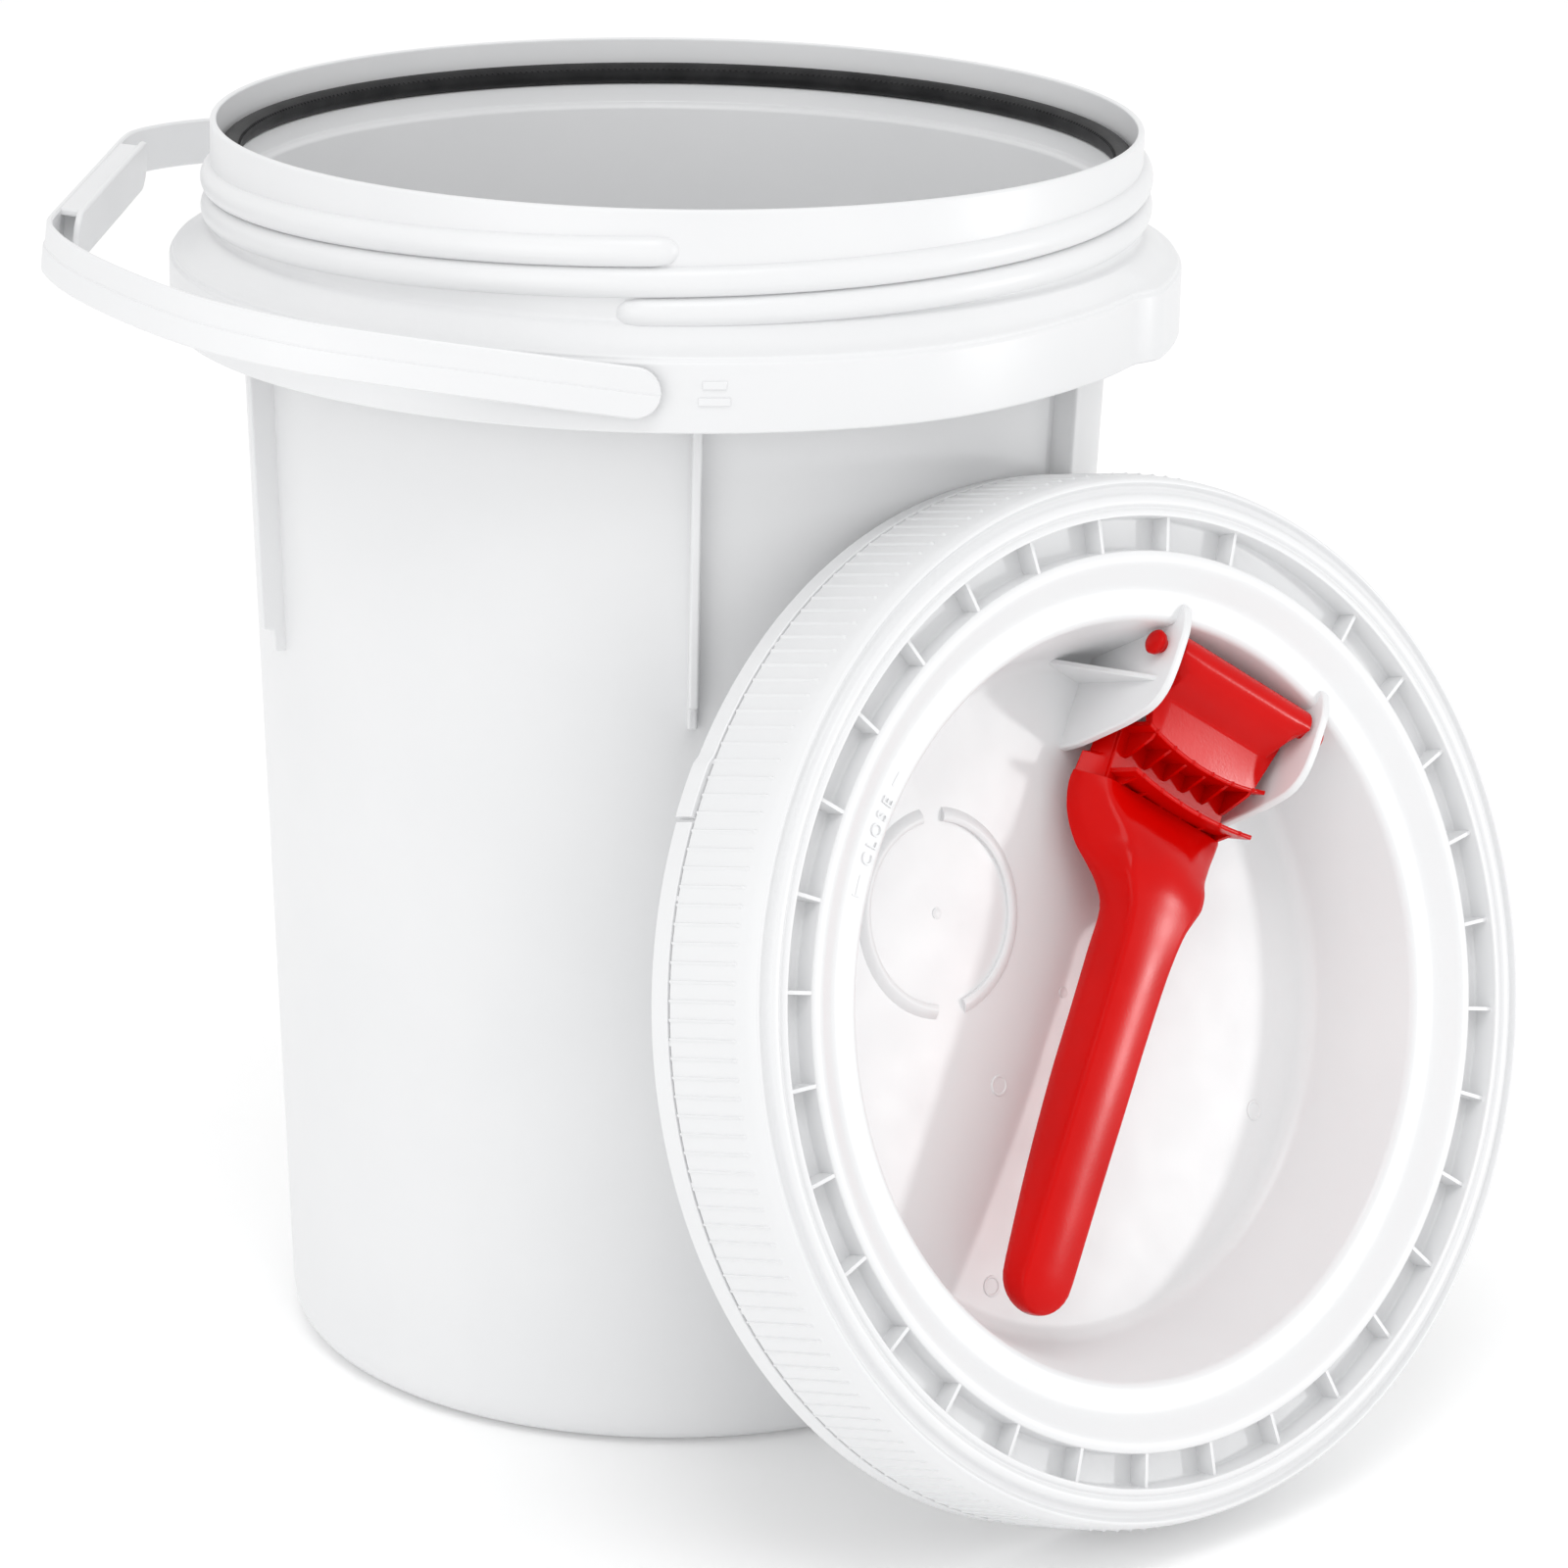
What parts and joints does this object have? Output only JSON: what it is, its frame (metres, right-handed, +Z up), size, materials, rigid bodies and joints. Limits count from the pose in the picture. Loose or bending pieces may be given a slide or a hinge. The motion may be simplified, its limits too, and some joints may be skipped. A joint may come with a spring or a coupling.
{
  "type": "plastic fermenting bucket",
  "caption": "Tapered plastic pail with a threaded neck, sealing ring and folding bail, its screw lid taken off and leaning on it, with a red folding lever in the lid's well.",
  "frame": {"origin": "centre of the pail's flat base, on the floor", "axes": "+Z up along the pail's axis; -Y towards the viewer; -X towards the side that the bail is folded down to"},
  "size_m": [0.4908, 0.4566, 0.4239],
  "materials": {
    "white_plastic": "semi-gloss opaque white polyethylene",
    "red_plastic": "glossy saturated red plastic",
    "black_rubber": "satin black moulded rubber"
  },
  "bodies": {
    "pail": {"bucket_body": "white_plastic", "neck_gasket": "black_rubber"},
    "bail": {"bail_handle": "white_plastic"},
    "lid": {"lid_cap": "white_plastic", "tamper_band": "white_plastic"},
    "lever": {"lid_lever": "red_plastic"}
  },
  "joints": [
    {"name": "bail_swing", "type": "hinge", "parent": "pail", "child": "bail", "pos_m": [0, 0, 0.3705], "axis": [0.0488, 0.9988, 0], "range_deg": [-44, 168]},
    {"name": "lid_pick_up", "type": "slide", "parent": "pail", "child": "lid", "axis": [0.465, -0.532, 0.7077], "range_m": [0, 0.3]},
    {"name": "lever_fold", "type": "hinge", "parent": "lid", "child": "lever", "pos_m": [0.18479, -0.10419, 0.25915], "axis": [-0.7169, -0.4368, 0.5434], "range_deg": [0, 95]}
  ]
}
